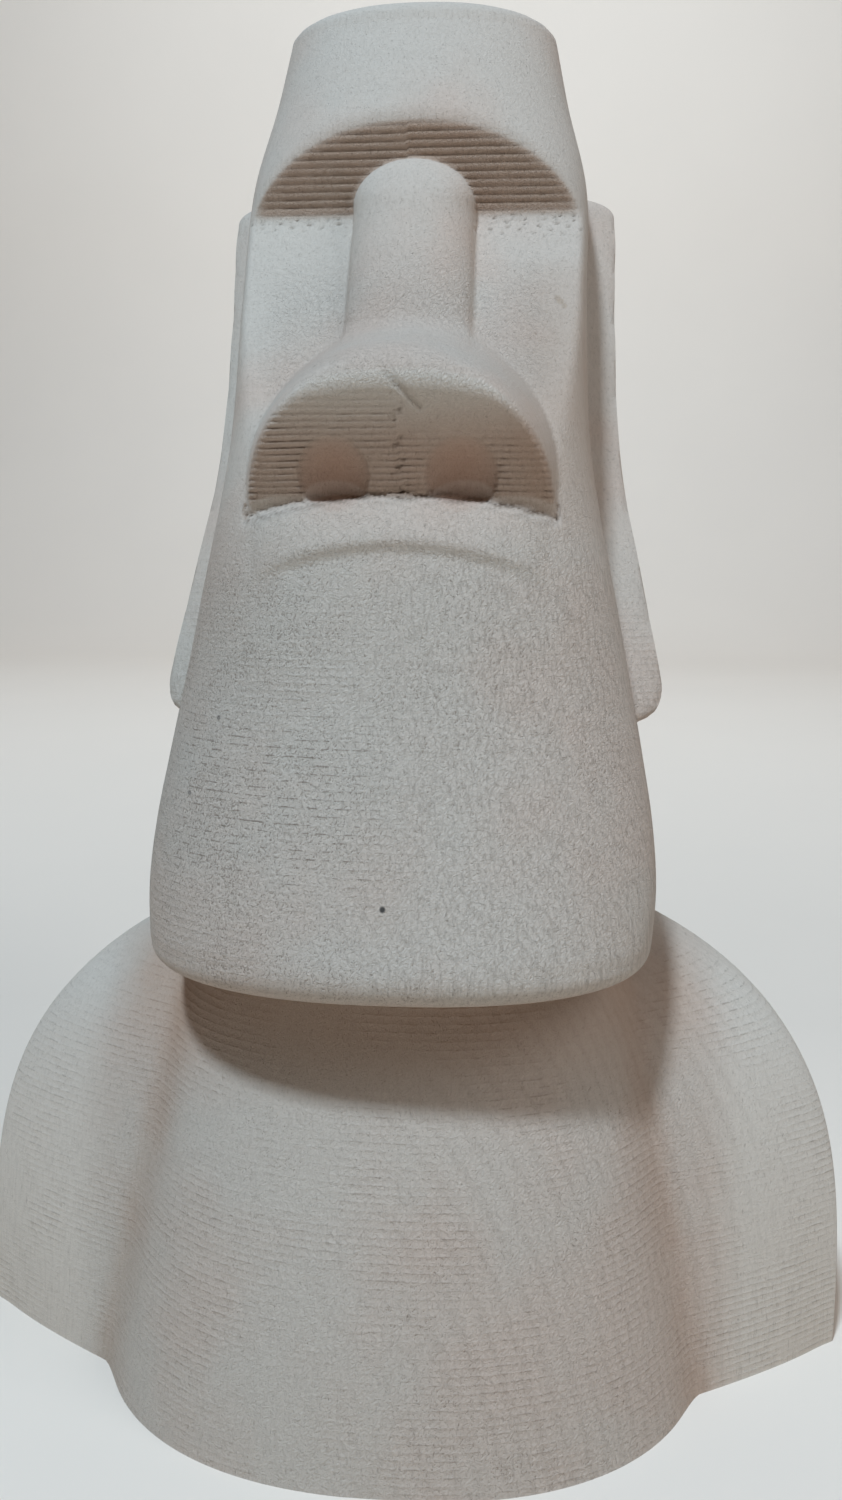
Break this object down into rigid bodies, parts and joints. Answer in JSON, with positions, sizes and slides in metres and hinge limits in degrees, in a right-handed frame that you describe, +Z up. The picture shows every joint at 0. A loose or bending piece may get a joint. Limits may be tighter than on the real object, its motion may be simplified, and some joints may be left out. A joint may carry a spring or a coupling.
{
  "type": "moai bust",
  "caption": "Carved wooden moai bust with a long backward-leaning head, heavy arched brow, broad round nose and long ears, on a torso cut off flat below.",
  "frame": {"origin": "middle of the bust's bounding box, on the level of its flat base", "axes": "+Z up, -Y the way the face looks, +X to the right of someone who looks at the face"},
  "size_m": [0.1258, 0.0808, 0.19],
  "materials": {
    "wood": "raw machine-carved pale wood, matt"
  },
  "bodies": {
    "root": {"moai_bust": "wood"}
  },
  "joints": []
}
